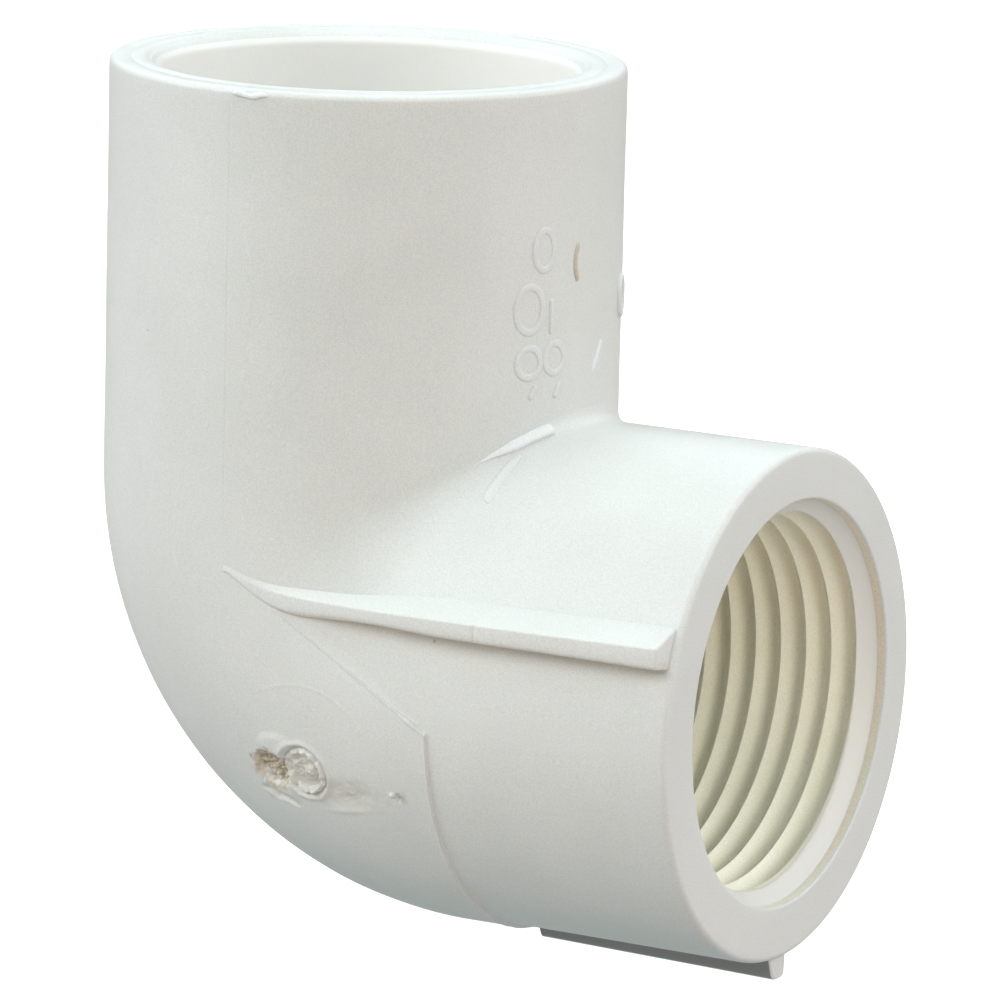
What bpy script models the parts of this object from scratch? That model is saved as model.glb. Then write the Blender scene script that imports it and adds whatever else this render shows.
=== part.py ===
"""A 90 degree PVC pipe elbow, nominal 3/4 in, with a cement socket facing up and a pipe thread facing +X.

The fitting is one moulding. Its wall is divided here where a designer would divide it: the straight
socket, the bend and the straight threaded outlet, with the helical thread, the grip ribs, the gate
stub, the throat fin and the raised marks as solids of their own. Neighbouring solids keep the
clearance GAP.

Frame: the origin is where the two centre lines cross, +Z runs up the socket, +X runs out of the outlet.
"""

import math

import bpy
import bmesh
from mathutils import Vector

MM = 0.001
GAP = 0.3 * MM

# Standard sizes of the nominal 3/4 in fitting.
SOCKET_CENTRE_TO_RIM = 38.3 * MM
OUTLET_CENTRE_TO_FACE = 32.0 * MM
SOCKET_HUB_R = 16.65 * MM
OUTLET_HUB_R = 16.43 * MM
SOCKET_MOUTH_R = 13.44 * MM
SOCKET_BOTTOM_R = 13.28 * MM
LAYING_LENGTH = 14.3 * MM
WATERWAY_R = 10.4 * MM

# Female pipe thread, 14 turns to the inch, tapered 1 in 16 on the diameter.
THREAD_PITCH = 25.4 / 14 * MM
THREAD_TAPER = 1.0 / 32
THREAD_CREST_R = 11.95 * MM
THREAD_DEPTH = 1.35 * MM
THREAD_REFERENCE_X = 30.35 * MM
THREAD_OUTER_TURN = -0.78
THREAD_INNER_TURN = -8.2
THREAD_CREST_WIDTH = 0.3 * MM
THREAD_ROOT_WIDTH = 0.5 * MM
MOUTH_R = 13.15 * MM
MOUTH_DEPTH = 0.7 * MM
LEAD_IN_END_X = 30.3 * MM

# Outer shape of the bend. Its heel is turned about a point BEND_R from both centre lines.
BEND_R = 11.4 * MM
THROAT_SOFTNESS = 4.6 * MM
PIVOT = 18.0 * MM

RIM_ROUNDING = 0.4 * MM
SOCKET_CHAMFER = 0.45 * MM

# Grip ribs on the outlet: one along its near side and one below it.
SIDE_RIB_OUT = 17.15 * MM
SIDE_RIB_TIP_OUT = 16.99 * MM
SIDE_RIB_START_X = 0.6 * MM
SIDE_RIB_END_X = 31.55 * MM
SIDE_RIB_TOP_Z = 6.9 * MM
SIDE_RIB_BOTTOM_Z = 5.3 * MM
SIDE_RIB_TIP_LENGTH = 8.0 * MM
SIDE_RIB_TIP_RISE = 0.6 * MM
SIDE_RIB_TIP_HEIGHT = 0.25 * MM
SIDE_RIB_TIP_FALL = 0.62
SIDE_RIB_TOP_SLOPE = 0.25 * MM
SIDE_RIB_LEAST_DEPTH = 0.12 * MM
SIDE_RIB_STATIONS = 14
BOTTOM_RIB_START_X = 14.6 * MM
BOTTOM_RIB_END_X = 31.2 * MM
BOTTOM_RIB_OUT = 17.95 * MM
BOTTOM_RIB_WIDTH = 2.1 * MM
BOTTOM_RIB_FLATNESS = 0.45

# The sheared gate stub, in a shallow round recess low on the near side of the heel.
GATE_POINT = Vector((5.75 * MM, -15.6 * MM, -4.9 * MM))
GATE_RECESS_R = 1.75 * MM
GATE_RECESS_DEPTH = 1.0 * MM
GATE_STUB_R = 1.2 * MM
GATE_STUB_STANDING = 0.25 * MM
GATE_AXIS_DROP = 0.25

# The flash fin along the crease beside the throat, told by its distance from the centre lines.
FIN_FIRST_OFFSET = 16.05 * MM
FIN_OFFSET_STEP = 0.4 * MM
FIN_SECTIONS = 5
FIN_THICKNESS = 0.5 * MM
FIN_HEIGHT = 0.5 * MM
FIN_CLEARANCE = 0.4 * MM

# Raised marks on the socket: rows of plain rings, bars and short tails, at angles from +X towards -Y.
MARK_HEIGHT = 3.1 * MM
MARK_THICKNESS = 0.35 * MM
MARK_STROKE = 0.6 * MM
MARK_RING_R = 1.25 * MM
MARK_SLANT = 1.2 * MM
MARK_TAIL_HEIGHT = 1.0 * MM
MARK_TAIL_SLANT = 0.5 * MM
MARK_ROWS = (
    ("raised_mark_top", 28.0 * MM, (("ring", 16.0), ("bar", 4.0))),
    ("raised_mark_middle", 24.4 * MM, (("ring", 20.5), ("bar", 13.0), ("ring", -19.0))),
    ("raised_mark_bottom", 20.9 * MM, (("ring", 21.0), ("ring", 11.0), ("slash", -3.0))),
    ("raised_mark_lowest", 18.85 * MM, (("tail", 19.0), ("tail", 11.5))),
)

SIDES = 64
BEND_STEPS = 26
THREAD_STEPS_PER_TURN = 32

PVC_WHITE = (0.62, 0.62, 0.58, 1.0)
PVC_SHADED = (0.56, 0.53, 0.44, 1.0)


def clear_scene():
    for obj in list(bpy.data.objects):
        bpy.data.objects.remove(obj)


def pvc_material(name, colour, roughness):
    material = bpy.data.materials.new(name)
    material.use_nodes = True
    shader = material.node_tree.nodes["Principled BSDF"]
    shader.inputs["Base Color"].default_value = colour
    shader.inputs["Roughness"].default_value = roughness
    shader.inputs["Metallic"].default_value = 0.0
    return material


def object_from_bmesh(name, mesh_builder, colour=PVC_WHITE, roughness=0.38, smooth_angle=35.0):
    bmesh.ops.recalc_face_normals(mesh_builder, faces=mesh_builder.faces)
    if mesh_builder.calc_volume(signed=True) < 0:
        bmesh.ops.reverse_faces(mesh_builder, faces=mesh_builder.faces)
    mesh = bpy.data.meshes.new(name)
    mesh_builder.to_mesh(mesh)
    mesh_builder.free()
    mesh.shade_smooth()
    mesh.set_sharp_from_angle(angle=math.radians(smooth_angle))
    mesh.materials.append(pvc_material(name + "_pvc", colour, roughness))
    obj = bpy.data.objects.new(name, mesh)
    bpy.context.scene.collection.objects.link(obj)
    return obj


def angles(count=SIDES):
    return [2 * math.pi * step / count for step in range(count)]


def ring_z(radius, z):
    """A ring round the socket's centre line. Its first point is on the throat side."""
    return [Vector((radius * math.cos(t), radius * math.sin(t), z)) for t in angles()]


def ring_x(radius, x):
    """A ring round the outlet's centre line. Its first point is on the throat side."""
    return [Vector((x, radius * math.sin(t), radius * math.cos(t))) for t in angles()]


def throat_radius(offset):
    """Corner radius of the outer wall in the plane where the wall lies offset from the centre lines."""
    reach = BEND_R - offset
    return (reach + math.hypot(reach, THROAT_SOFTNESS)) / 2


def bend_distance(offset, turn):
    """Distance from the pivot line to the outer wall, looking turn radians round from the socket."""
    radius = throat_radius(offset)
    centre = offset + radius
    to_centre = PIVOT - centre
    along = (PIVOT - offset) / max(math.cos(turn), math.sin(turn))
    other = PIVOT - along * min(math.cos(turn), math.sin(turn))
    if other >= centre:
        return along
    half = to_centre * (math.cos(turn) + math.sin(turn))
    return half + math.sqrt(half * half - 2 * to_centre * to_centre + radius * radius)


def bend_outer_ring(turn):
    share = turn / (math.pi / 2)
    share = share * share * (3 - 2 * share)
    hub_r = SOCKET_HUB_R + (OUTLET_HUB_R - SOCKET_HUB_R) * share
    ring = []
    for t in angles():
        distance = bend_distance(hub_r * math.cos(t), turn)
        x = PIVOT - distance * math.cos(turn)
        z = PIVOT - distance * math.sin(turn)
        ring.append(Vector((x, hub_r * math.sin(t), z)))
    return ring


def bend_inner_ring(turn):
    """A ring of the waterway, square to its curved centre line."""
    centre = Vector((BEND_R - BEND_R * math.cos(turn), 0, BEND_R - BEND_R * math.sin(turn)))
    throatward = Vector((math.cos(turn), 0, math.sin(turn)))
    sideways = Vector((0, 1, 0))
    return [
        centre + WATERWAY_R * (math.cos(t) * throatward + math.sin(t) * sideways)
        for t in angles()
    ]


def tube_solid(name, rings, **look):
    """A closed wall: each ring is joined to the next, and the last to the first."""
    builder = bmesh.new()
    loops = [[builder.verts.new(point) for point in ring] for ring in rings]
    for here, after in zip(loops, loops[1:] + loops[:1]):
        for i in range(SIDES):
            j = (i + 1) % SIDES
            builder.faces.new((here[i], here[j], after[j], after[i]))
    return object_from_bmesh(name, builder, **look)


def rounded_edge(radius, position, rounding, steps=3):
    """(radius, position) points of an outer edge rounded from the side wall to the end face."""
    points = []
    for step in range(steps + 1):
        a = math.pi / 2 * step / steps
        points.append(
            (radius - rounding + rounding * math.cos(a), position - rounding + rounding * math.sin(a))
        )
    return points


def socket_bore_r(z):
    share = (z - LAYING_LENGTH) / (SOCKET_CENTRE_TO_RIM - LAYING_LENGTH)
    return SOCKET_BOTTOM_R + (SOCKET_MOUTH_R - SOCKET_BOTTOM_R) * share


def crest_r(x):
    return THREAD_CREST_R + (x - THREAD_REFERENCE_X) * THREAD_TAPER


def root_r(x):
    return crest_r(x) + THREAD_DEPTH


def slip_socket():
    base = PIVOT + GAP
    rim = SOCKET_CENTRE_TO_RIM
    rings = [ring_z(SOCKET_HUB_R, base)]
    rings += [ring_z(r, z) for r, z in rounded_edge(SOCKET_HUB_R, rim, RIM_ROUNDING)]
    rings.append(ring_z(SOCKET_MOUTH_R + SOCKET_CHAMFER, rim))
    rings.append(ring_z(socket_bore_r(rim - SOCKET_CHAMFER), rim - SOCKET_CHAMFER))
    rings.append(ring_z(socket_bore_r(base), base))
    return tube_solid("slip_socket", rings)


def gate_axis():
    return Vector((0, GATE_POINT.y, GATE_POINT.z * GATE_AXIS_DROP)).normalized()


def turned_pin(name, centre, axis, radius, half_length, sides=24):
    builder = bmesh.new()
    bmesh.ops.create_cone(
        builder,
        cap_ends=True,
        segments=sides,
        radius1=radius,
        radius2=radius,
        depth=2 * half_length,
    )
    turn = axis.to_track_quat("Z", "Y").to_matrix().to_4x4()
    turn.translation = centre
    builder.transform(turn)
    return object_from_bmesh(name, builder)


def elbow_bend():
    turns = [math.pi / 2 * step / BEND_STEPS for step in range(BEND_STEPS + 1)]
    rings = [bend_outer_ring(turn) for turn in turns]
    rings.append(ring_x(root_r(PIVOT), PIVOT))
    rings.append(ring_x(root_r(LAYING_LENGTH), LAYING_LENGTH))
    rings.append(ring_x(WATERWAY_R, LAYING_LENGTH))
    rings += [bend_inner_ring(turn) for turn in reversed(turns[::2])]
    rings.append(ring_z(WATERWAY_R, LAYING_LENGTH))
    rings.append(ring_z(SOCKET_BOTTOM_R, LAYING_LENGTH))
    rings.append(ring_z(socket_bore_r(PIVOT), PIVOT))
    bend = tube_solid("elbow_bend", rings)
    recess = turned_pin(
        "gate_recess_cutter", GATE_POINT, gate_axis(), GATE_RECESS_R, GATE_RECESS_DEPTH
    )
    recess.hide_render = True
    recess.display_type = "WIRE"
    cut = bend.modifiers.new("gate_recess", "BOOLEAN")
    cut.operation = "DIFFERENCE"
    cut.solver = "EXACT"
    cut.object = recess
    return bend


def threaded_outlet():
    base = PIVOT + GAP
    face = OUTLET_CENTRE_TO_FACE
    rings = [ring_x(OUTLET_HUB_R, base)]
    rings += [ring_x(r, x) for r, x in rounded_edge(OUTLET_HUB_R, face, RIM_ROUNDING)]
    rings.append(ring_x(MOUTH_R, face))
    rings.append(ring_x(MOUTH_R, face - MOUTH_DEPTH))
    rings.append(ring_x(crest_r(LEAD_IN_END_X), LEAD_IN_END_X))
    rings.append(ring_x(root_r(LEAD_IN_END_X), LEAD_IN_END_X - THREAD_DEPTH / 2))
    rings.append(ring_x(root_r(base), base))
    return tube_solid("threaded_outlet", rings)


def female_thread():
    """The helical ridge, a four-sided bar wound about the outlet's centre line."""
    builder = bmesh.new()
    base_half = (THREAD_PITCH - THREAD_ROOT_WIDTH) / 2
    crest_half = THREAD_CREST_WIDTH / 2
    sections = []
    count = round((THREAD_OUTER_TURN - THREAD_INNER_TURN) * THREAD_STEPS_PER_TURN)
    for step in range(count + 1):
        turn = THREAD_OUTER_TURN - step / THREAD_STEPS_PER_TURN
        x = THREAD_REFERENCE_X + THREAD_PITCH * turn
        t = 2 * math.pi * turn
        out = Vector((0, math.cos(t), math.sin(t)))
        foot = root_r(x) - GAP
        tip = crest_r(x)
        corners = ((-base_half, foot), (-crest_half, tip), (crest_half, tip), (base_half, foot))
        sections.append(
            [builder.verts.new(Vector((x + dx, 0, 0)) + out * radius) for dx, radius in corners]
        )
    for here, after in zip(sections, sections[1:]):
        for i in range(4):
            j = (i + 1) % 4
            builder.faces.new((here[i], here[j], after[j], after[i]))
    builder.faces.new(sections[0])
    builder.faces.new(sections[-1])
    return object_from_bmesh("female_thread", builder, colour=PVC_SHADED, roughness=0.45)


def outer_wall_y(x, z):
    """How far the fitting's outer wall stands from its middle plane, at a place on the side of the bend."""
    if x >= PIVOT:
        return math.sqrt(OUTLET_HUB_R**2 - z * z)
    turn = math.atan2(PIVOT - z, PIVOT - x)
    distance = math.hypot(PIVOT - x, PIVOT - z)
    low, high = 0.0, OUTLET_HUB_R
    for _ in range(40):
        middle = (low + high) / 2
        offset = math.sqrt(OUTLET_HUB_R**2 - middle * middle)
        inside = bend_distance(offset, turn) <= distance <= bend_distance(-offset, turn)
        if inside:
            low = middle
        else:
            high = middle
    return low


def near_side_rib():
    """The grip rib that leaves the bend's near side in a point and runs to just behind the outlet face."""
    sections = []
    for step in range(SIDE_RIB_STATIONS + 1):
        share = step / SIDE_RIB_STATIONS
        x = SIDE_RIB_START_X + (SIDE_RIB_END_X - SIDE_RIB_START_X) * share
        rise = max(0.0, 1 - x / SIDE_RIB_TIP_LENGTH)
        top = SIDE_RIB_TOP_Z + SIDE_RIB_TIP_RISE * rise
        bottom = max(SIDE_RIB_BOTTOM_Z, top - SIDE_RIB_TIP_HEIGHT - x * SIDE_RIB_TIP_FALL)
        out = SIDE_RIB_OUT - (SIDE_RIB_OUT - SIDE_RIB_TIP_OUT) * rise
        slope = SIDE_RIB_TOP_SLOPE * min(1.0, x / SIDE_RIB_TIP_LENGTH)
        deepest = out - SIDE_RIB_LEAST_DEPTH
        foot_top = min(outer_wall_y(x, top + slope) + GAP, deepest)
        foot_bottom = min(outer_wall_y(x, bottom) + GAP, deepest)
        corners = ((foot_top, top + slope), (out, top), (out, bottom), (foot_bottom, bottom))
        sections.append([Vector((x, -y, z)) for y, z in corners])
    builder = bmesh.new()
    loops = [[builder.verts.new(point) for point in section] for section in sections]
    for here, after in zip(loops, loops[1:]):
        for i in range(4):
            j = (i + 1) % 4
            builder.faces.new((here[i], here[j], after[j], after[i]))
    builder.faces.new(loops[0])
    builder.faces.new(loops[-1])
    return object_from_bmesh("near_side_rib", builder)


def bottom_rib():
    """The rib under the outlet, with a rounded lower side."""
    half = BOTTOM_RIB_WIDTH / 2
    drop = half * BOTTOM_RIB_FLATNESS
    lower = [
        Vector((0, half * math.cos(a), drop * math.sin(a) + drop - BOTTOM_RIB_OUT))
        for a in [math.pi + math.pi * step / 8 for step in range(9)]
    ]
    upper = []
    for step in range(5):
        y = half - BOTTOM_RIB_WIDTH * step / 4
        upper.append(Vector((0, y, -math.sqrt((OUTLET_HUB_R + GAP) ** 2 - y * y))))
    outline = lower + upper
    builder = bmesh.new()
    loops = []
    for x in (BOTTOM_RIB_START_X, BOTTOM_RIB_END_X):
        loops.append([builder.verts.new(point + Vector((x, 0, 0))) for point in outline])
    for i in range(len(outline)):
        j = (i + 1) % len(outline)
        builder.faces.new((loops[0][i], loops[0][j], loops[1][j], loops[1][i]))
    builder.faces.new(loops[0])
    builder.faces.new(loops[1])
    return object_from_bmesh("bottom_rib", builder)


def gate_stub():
    inner = -GATE_RECESS_DEPTH + GAP
    outer = GATE_STUB_STANDING
    centre = GATE_POINT + gate_axis() * (inner + outer) / 2
    return turned_pin("gate_stub", centre, gate_axis(), GATE_STUB_R, (outer - inner) / 2)


def near_throat_fin():
    """A short fin of moulding flash along the crease at the near side of the throat."""
    builder = bmesh.new()
    loops = []
    half = FIN_THICKNESS / 2
    along_wall = Vector((-1, 0, 1)).normalized()
    for step in range(FIN_SECTIONS):
        offset = FIN_FIRST_OFFSET - FIN_OFFSET_STEP * step
        wall = -math.sqrt(OUTLET_HUB_R**2 - offset * offset)
        crest = throat_radius(offset) * (1 - math.sqrt(0.5)) + offset
        outward = Vector((crest, wall, crest)).normalized()
        foot = Vector((crest, wall, crest)) + outward * FIN_CLEARANCE
        height = outward * FIN_HEIGHT
        corners = (
            foot - along_wall * half,
            foot + along_wall * half,
            foot + along_wall * half + height,
            foot - along_wall * half + height,
        )
        loops.append([builder.verts.new(point) for point in corners])
    for here, after in zip(loops, loops[1:]):
        for i in range(4):
            j = (i + 1) % 4
            builder.faces.new((here[i], here[j], after[j], after[i]))
    builder.faces.new(loops[0])
    builder.faces.new(loops[-1])
    return object_from_bmesh("near_throat_fin", builder)


def mark_outline(kind):
    """Outlines of a raised mark as (across, up) points: the outer one, and the hole of a ring."""
    if kind == "ring":
        return [
            [(radius * math.cos(a), radius * math.sin(a)) for a in angles(20)]
            for radius in (MARK_RING_R, MARK_RING_R - MARK_STROKE)
        ]
    half = MARK_STROKE / 2
    up = (MARK_TAIL_HEIGHT if kind == "tail" else MARK_HEIGHT) / 2
    lean = {"bar": 0.0, "slash": MARK_SLANT / 2, "tail": MARK_TAIL_SLANT / 2}[kind]
    return [[(-half - lean, -up), (half - lean, -up), (half + lean, up), (-half + lean, up)]]


def raised_mark(name, kind, z, degrees):
    """A bar, a slanted bar or a ring that stands on the socket and curves with it."""
    inner_r = SOCKET_HUB_R + GAP
    builder = bmesh.new()

    def place(point, radius):
        across, up = point
        a = math.radians(degrees) - across / SOCKET_HUB_R
        return builder.verts.new((radius * math.cos(a), -radius * math.sin(a), z + up))

    outlines = mark_outline(kind)
    loops = []
    for outline in outlines:
        low = [place(point, inner_r) for point in outline]
        high = [place(point, inner_r + MARK_THICKNESS) for point in outline]
        loops.append((low, high))
    for low, high in loops:
        for i in range(len(low)):
            j = (i + 1) % len(low)
            builder.faces.new((low[i], low[j], high[j], high[i]))
    for level in (0, 1):
        if len(loops) == 1:
            builder.faces.new(loops[0][level])
            continue
        outer = loops[0][level]
        inner = loops[1][level]
        for i in range(len(outer)):
            j = (i + 1) % len(outer)
            builder.faces.new((outer[i], outer[j], inner[j], inner[i]))
    return object_from_bmesh(name, builder)


def raised_marks():
    for row, z, marks in MARK_ROWS:
        for number, (kind, degrees) in enumerate(marks, start=1):
            raised_mark(f"{row}_{number}", kind, z, degrees)


def main():
    clear_scene()
    slip_socket()
    elbow_bend()
    threaded_outlet()
    female_thread()
    near_side_rib()
    bottom_rib()
    gate_stub()
    near_throat_fin()
    raised_marks()


main()
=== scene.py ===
import math

import bmesh
import bpy
import numpy as np
from mathutils import Matrix, Vector, noise


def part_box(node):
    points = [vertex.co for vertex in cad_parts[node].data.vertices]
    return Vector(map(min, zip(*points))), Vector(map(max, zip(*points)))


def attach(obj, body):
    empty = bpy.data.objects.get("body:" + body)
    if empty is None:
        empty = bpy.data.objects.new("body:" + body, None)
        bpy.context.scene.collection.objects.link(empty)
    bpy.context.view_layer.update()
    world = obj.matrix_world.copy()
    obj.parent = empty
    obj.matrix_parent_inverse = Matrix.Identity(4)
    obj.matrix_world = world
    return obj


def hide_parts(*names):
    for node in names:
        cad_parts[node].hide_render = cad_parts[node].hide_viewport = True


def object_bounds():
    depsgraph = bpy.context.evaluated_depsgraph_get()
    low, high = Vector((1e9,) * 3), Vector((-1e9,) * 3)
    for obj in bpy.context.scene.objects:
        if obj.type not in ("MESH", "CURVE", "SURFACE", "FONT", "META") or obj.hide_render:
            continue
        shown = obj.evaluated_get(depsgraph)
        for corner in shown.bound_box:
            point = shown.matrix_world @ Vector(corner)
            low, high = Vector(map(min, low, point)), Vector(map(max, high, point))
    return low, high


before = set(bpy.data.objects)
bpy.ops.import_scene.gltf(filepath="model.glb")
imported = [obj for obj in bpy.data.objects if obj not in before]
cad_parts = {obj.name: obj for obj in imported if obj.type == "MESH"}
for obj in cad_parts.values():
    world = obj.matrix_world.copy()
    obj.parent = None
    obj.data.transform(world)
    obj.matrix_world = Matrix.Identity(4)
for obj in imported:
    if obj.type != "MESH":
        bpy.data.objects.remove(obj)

# Looks of the 90 degree PVC elbow. Lengths below are in millimetres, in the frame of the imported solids: the
# origin where the two centre lines cross, Z up the socket, X out of the thread, and the gate on the -Y side.

CAD_BOUNDS = [list(corner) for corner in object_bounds()]
MM = 0.001
X, Y, Z = 0, 1, 2
LOW, HIGH = 0, 1


def edge_mm(node, corner, axis):
    """One side of a CAD node's box, in millimetres."""
    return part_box(node)[corner][axis] / MM


HUB_R = edge_mm("slip_socket", HIGH, X)
BARREL_R = edge_mm("threaded_outlet", HIGH, Z)
RIM_Z = edge_mm("slip_socket", HIGH, Z)
FACE_X = edge_mm("threaded_outlet", HIGH, X)
RIB_END_X = edge_mm("near_side_rib", HIGH, X)
RIB_OUT = -edge_mm("near_side_rib", LOW, Y)
BOTTOM_RIB_X = edge_mm("bottom_rib", LOW, X)
BOTTOM_RIB_Z = edge_mm("bottom_rib", LOW, Z)
BOTTOM_RIB_END = edge_mm("bottom_rib", HIGH, X) + 0.4

# The wall bends about the line x = z = PIVOT, and the waterway's centre line on an arc of radius BEND_R.
PIVOT = 18.0
BEND_R = 11.4
THROAT_SOFTNESS = 4.6
WATERWAY_R = 10.4
# The socket and the thread both end this far from the crossing. The socket's bore tapers in towards its end.
LAYING_LENGTH = 14.3
SOCKET_MOUTH_R = 13.44
SOCKET_BOTTOM_R = 13.28

# Rims, and the rounding of their outer edges.
EDGE_ROUNDING = 0.42
SOCKET_LIP = 0.85
# The socket's rim from the end of the bore to its flat: (out from the bore, down from the rim).
SLIP_RIM = (
    (0.0, SOCKET_LIP), (0.05, SOCKET_LIP - 0.12), (0.42, 0.30), (0.50, 0.24), (0.60, 0.26), (0.72, 0.20),
    (0.86, 0.04), (0.98, 0.0), (1.70, 0.0), (1.80, 0.05), (1.90, 0.0),
)
MOUTH_R = 13.05
MOUTH_FOOT_R = MOUTH_R - 0.02
MOUTH_ROUNDING = 0.16
MOUTH_DEPTH = 0.7
# The core that moulded the thread sat slightly off centre: (x, shift along Y, shift along Z).
CORE_SHIFT = ((14.3, 0.0, 0.0), (20.0, 0.165, -0.134), (30.3, 0.165, -0.134), (31.3, 0.25, 0.10))

# Thread: right-handed, 14 turns to the inch, 60 degree form, taper 1 in 16 on the diameter. Its crest lies at
# THREAD_CREST_R at THREAD_REFERENCE_X.
THREAD_PITCH = 25.4 / 14
THREAD_TAPER = 1.0 / 32
THREAD_HALF_ANGLE = math.radians(30)
THREAD_CREST_R = 11.95
THREAD_DEPTH = 1.35
THREAD_REFERENCE_X = 30.35
THREAD_RUN_IN = math.radians(70)
ROOT_HALF_WIDTH = 0.20
ROOT_ROUNDING = 0.16
CREST_SOFTNESS = 0.03
LEAD_IN_SLOPE = 1.15
# The sleeve that the thread is cut in, and the gap to its pocket in the wall.
SLEEVE_START_X = FACE_X - MOUTH_DEPTH
SLEEVE_END_X = LAYING_LENGTH + 0.02
SLEEVE_SHOULDER = 0.13
SLEEVE_WALL = 0.24
SLEEVE_NARROWING = 0.3
POCKET_GAP = 0.01

# The line where two parts of the mould met, in side view: down the middle of the socket to LINE_TOP_Z, then
# slanting towards the outlet, then round the outlet at LINE_ROUND_X.
LINE_TOP_Z = 7.7
LINE_SLOPE = 0.584
LINE_ROUND_X = 15.0

GATE = np.array([5.62, -15.52, -4.97])
GATE_NORMAL = np.array([-0.123, -0.932, -0.341])
GATE_SCAR_R = 9.0
# Plain ovals of relief round the gate, as (height, centre, size, tilt, edge), told from the gate.
GATE_OVALS = (
    (0.05, (2.9, -2.35), (2.6, 0.35), 10, 0.9),  # lip below the sink
    (0.15, (-2.2, 1.5), (1.7, 1.0), 8, 0.6),  # facet at the upper left
    (0.10, (-3.7, -1.75), (0.5, 0.3), 40, 0.9),  # chip beside the pit
    (-0.28, (7.02, -0.55), (0.26, 0.42), 0, 0.8),  # nick on its own, to the right
    (0.20, (6.62, -0.42), (0.28, 0.24), 0, 0.9),  # scrap that the nick pushed up
)


# ---------------------------------------------------------------- meshes


def mesh_piece(name, points, faces, material, smooth_angle=32.0):
    """An object from points in millimetres, its faces turned outward and its edges over smooth_angle sharp."""
    mesh = bpy.data.meshes.new(name)
    mesh.from_pydata((np.asarray(points) * MM).tolist(), [], [tuple(f) for f in faces])
    builder = bmesh.new()
    builder.from_mesh(mesh)
    bmesh.ops.remove_doubles(builder, verts=builder.verts, dist=1e-8)
    bmesh.ops.recalc_face_normals(builder, faces=builder.faces)
    if builder.calc_volume(signed=True) < 0:
        bmesh.ops.reverse_faces(builder, faces=builder.faces)
    builder.to_mesh(mesh)
    builder.free()
    mesh.shade_smooth()
    mesh.set_sharp_from_angle(angle=math.radians(smooth_angle))
    mesh.materials.append(material)
    obj = bpy.data.objects.new(name, mesh)
    bpy.context.scene.collection.objects.link(obj)
    return obj


def grid_faces(rows, columns, close_rows, close_columns):
    """Four-sided faces between the neighbours in a grid of points, numbered row by row."""
    i = np.arange(rows if close_rows else rows - 1)[:, None]
    j = np.arange(columns if close_columns else columns - 1)[None, :]
    here, after = i * columns, ((i + 1) % rows) * columns
    k = (j + 1) % columns
    return np.stack([here + j, here + k, after + k, after + j], axis=-1).reshape(-1, 4).tolist()


def closed_tube(name, rings, material, smooth_angle=32.0):
    """A closed surface through rings of points, whose last ring joins the first."""
    rings = np.asarray(rings)
    faces = grid_faces(len(rings), rings.shape[1], True, True)
    return mesh_piece(name, rings.reshape(-1, 3), faces, material, smooth_angle)


def loft(name, sections, material, smooth_angle=32.0):
    """A closed solid through equal outlines, with a face at each end."""
    sections = np.asarray(sections)
    rows, columns = sections.shape[:2]
    faces = grid_faces(rows, columns, False, True)
    faces.append(list(range(columns)))
    faces.append(list(range((rows - 1) * columns, rows * columns)))
    return mesh_piece(name, sections.reshape(-1, 3), faces, material, smooth_angle)


def smooth01(value):
    """0 below 0, 1 above 1, and an S-shaped rise between."""
    value = np.clip(value, 0.0, 1.0)
    return value * value * (3 - 2 * value)


def bell(value, width):
    return np.exp(-((value / width) ** 2))


def soft_noise(points, scale, seed=0.0):
    """Smooth noise from -1 to 1 at each point, scale bumps to the millimetre."""
    flat = np.asarray(points).reshape(-1, 3) * scale + seed
    values = [noise.noise(Vector(p)) for p in flat]
    return np.array(values).reshape(np.asarray(points).shape[:-1])


def spans(*stretches):
    """Samples over stretches (low, high, step), each starting where the last one ended."""
    return np.concatenate([np.arange(low, high - step / 2, step) for low, high, step in stretches])


def rounded_outline(corners, rounding, steps=5):
    """A closed outline with its corners rounded; rounding gives each corner's own radius."""
    corners = [np.array(c, float) for c in corners]
    outline = []
    for i, corner in enumerate(corners):
        before = corners[i - 1] - corner
        after = corners[(i + 1) % len(corners)] - corner
        r = min(rounding[i], 0.45 * np.linalg.norm(before), 0.45 * np.linalg.norm(after))
        start = corner + before / np.linalg.norm(before) * r
        end = corner + after / np.linalg.norm(after) * r
        for k in range(steps):
            s = k / (steps - 1)
            outline.append((1 - s) ** 2 * start + 2 * s * (1 - s) * corner + s**2 * end)
    return np.array(outline)


# ---------------------------------------------------------------- the wall


def bend_distance(offset, turn):
    """Distance from the pivot line to the outer wall, for walls offset from the centre lines."""
    reach = BEND_R - offset
    radius = (reach + np.hypot(reach, THROAT_SOFTNESS)) / 2
    centre = offset + radius
    to_centre = PIVOT - centre
    larger = max(math.cos(turn), math.sin(turn))
    smaller = min(math.cos(turn), math.sin(turn))
    along = (PIVOT - offset) / larger
    straight = PIVOT - along * smaller >= centre
    half = to_centre * (math.cos(turn) + math.sin(turn))
    inside = np.maximum(half * half - 2 * to_centre**2 + radius**2, 0.0)
    return np.where(straight, along, half + np.sqrt(inside))


def bend_outer_ring(turn, sides):
    """The outer wall where a half plane through the pivot line cuts it, turn being 0 at the socket's end."""
    distance = bend_distance(HUB_R * np.cos(sides), turn)
    x = PIVOT - distance * math.cos(turn)
    z = PIVOT - distance * math.sin(turn)
    return np.stack([x, HUB_R * np.sin(sides), z], axis=1)


def ring_z(radius, z, sides):
    return np.stack([radius * np.cos(sides), radius * np.sin(sides), np.full_like(sides, z)], axis=1)


def ring_x(radius, x, sides):
    return np.stack([np.full_like(sides, x), radius * np.sin(sides), radius * np.cos(sides)], axis=1)


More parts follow.
